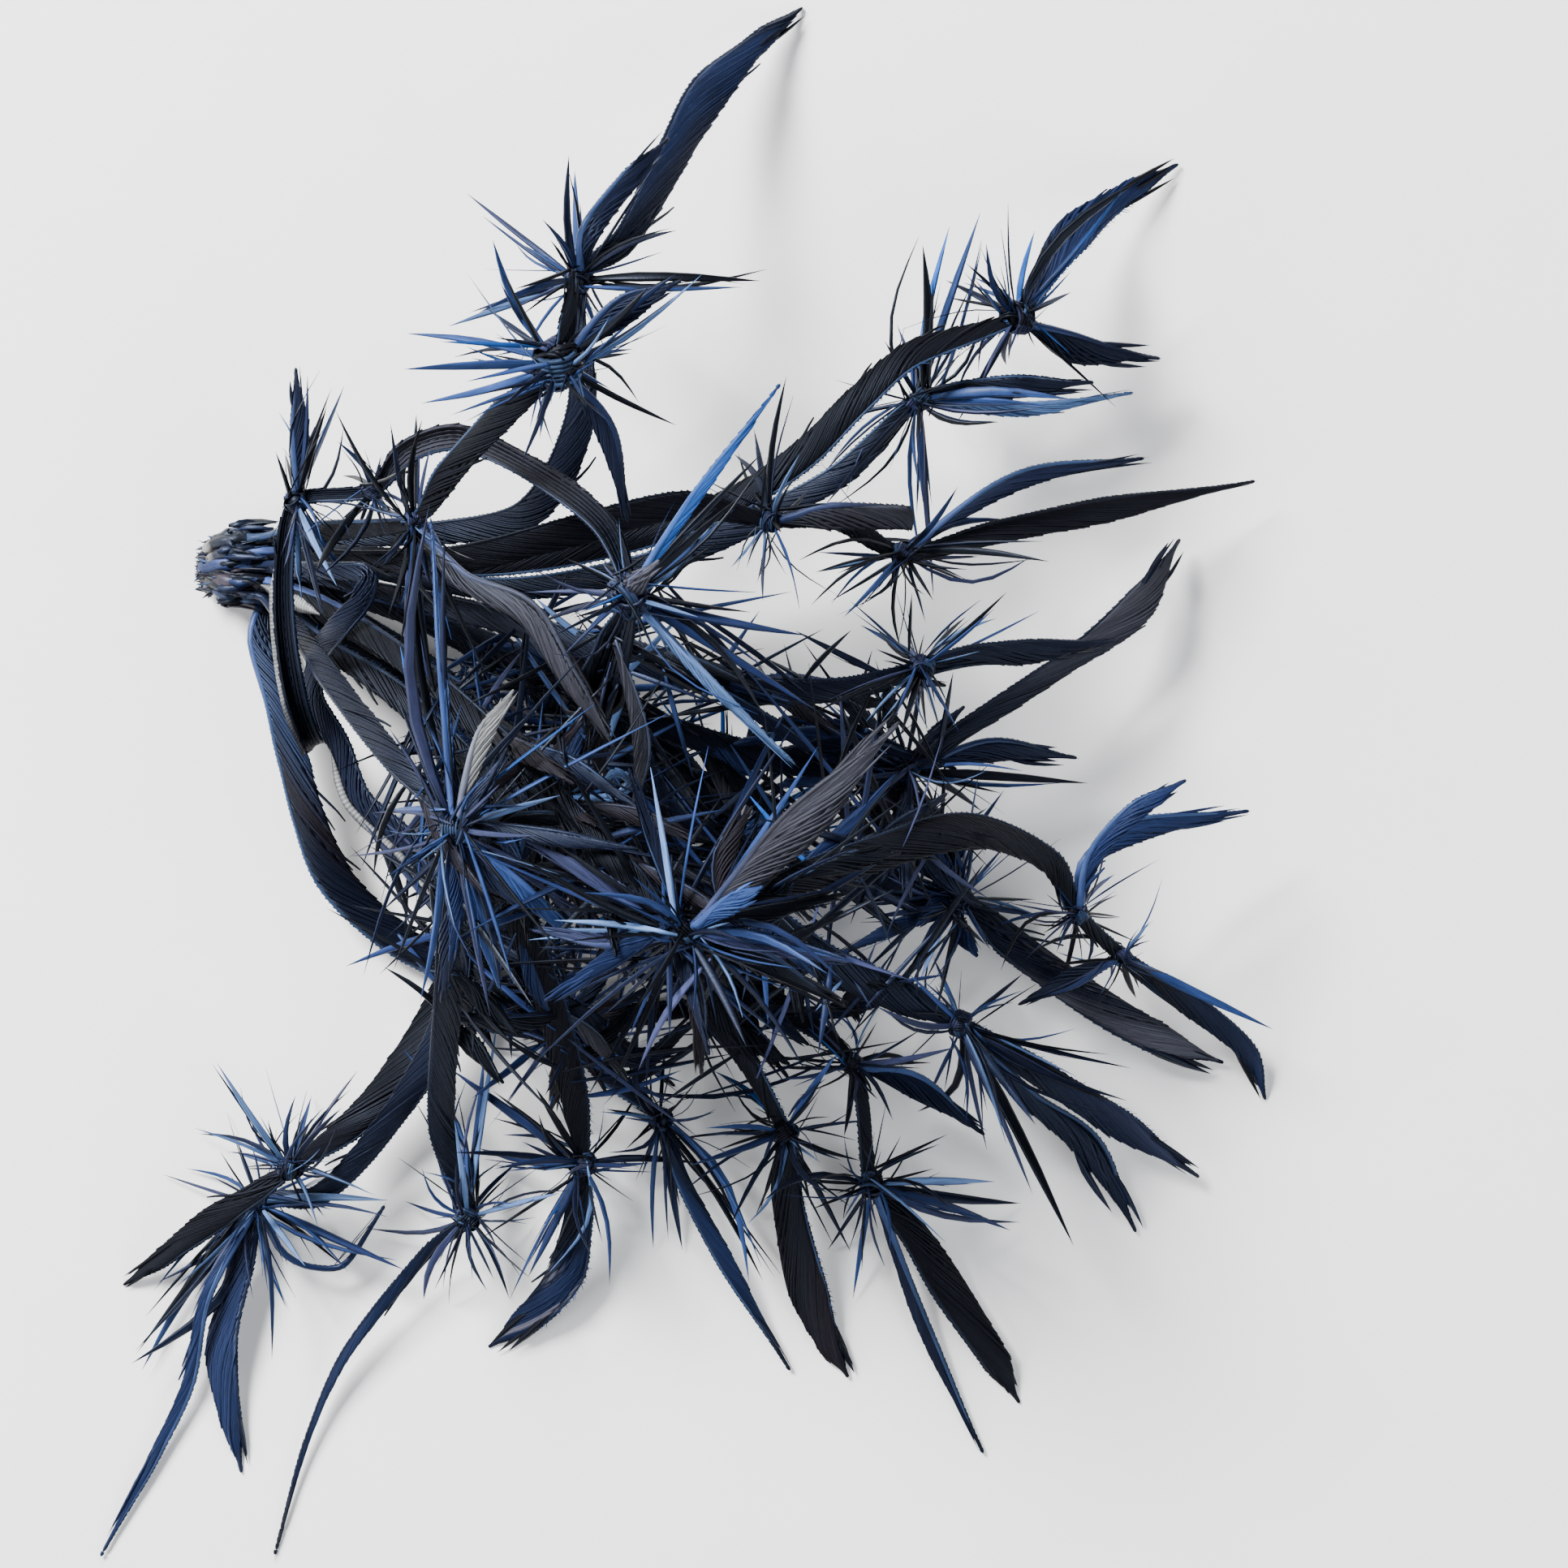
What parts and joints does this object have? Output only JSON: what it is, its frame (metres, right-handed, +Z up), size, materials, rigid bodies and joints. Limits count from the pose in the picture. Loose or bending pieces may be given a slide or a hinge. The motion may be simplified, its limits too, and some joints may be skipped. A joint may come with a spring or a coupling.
{
  "type": "feather hat mount",
  "caption": "Spray of dyed, knotted feather strips fanning out of one glued stub, with starbursts of pointed barbs at the knots, for trimming a hat.",
  "frame": {"origin": "middle of the glued stub's flat underside", "axes": "+X from the stub along the spray, +Y along its longest side, +Z up from the surface it lies on"},
  "size_m": [0.1798, 0.2395, 0.0829],
  "materials": {
    "feather_navy": "dyed feather barbs, satin, navy with a blue sheen",
    "feather_black_navy": "dyed feather barbs, near-black navy, dull with satin streaks",
    "feather_bright_navy": "dyed feather barbs, brighter blue where the dye took more",
    "glue": "clear glue over frayed grey-blue quill ends"
  },
  "bodies": {
    "root": {"glued_stub": "glue", "strip_arch": "feather_navy", "strip_front_crest": "feather_black_navy", "strip_tall": "feather_navy", "strip_upper_right": "feather_black_navy", "strip_right_star": "feather_navy", "strip_long_leaf": "feather_black_navy", "strip_middle_right": "feather_navy", "strip_grey_leaf": "feather_navy", "strip_front": "feather_black_navy", "strip_barred": "feather_navy", "strip_lower_right": "feather_navy", "strip_bottom_right": "feather_black_navy", "strip_dark_leaf": "feather_black_navy", "strip_outer_sweep": "feather_navy", "strip_bottom_leaf": "feather_black_navy", "strip_left_front": "feather_navy", "strip_bottom_left": "feather_bright_navy", "strip_left_leaf": "feather_black_navy"}
  },
  "joints": []
}
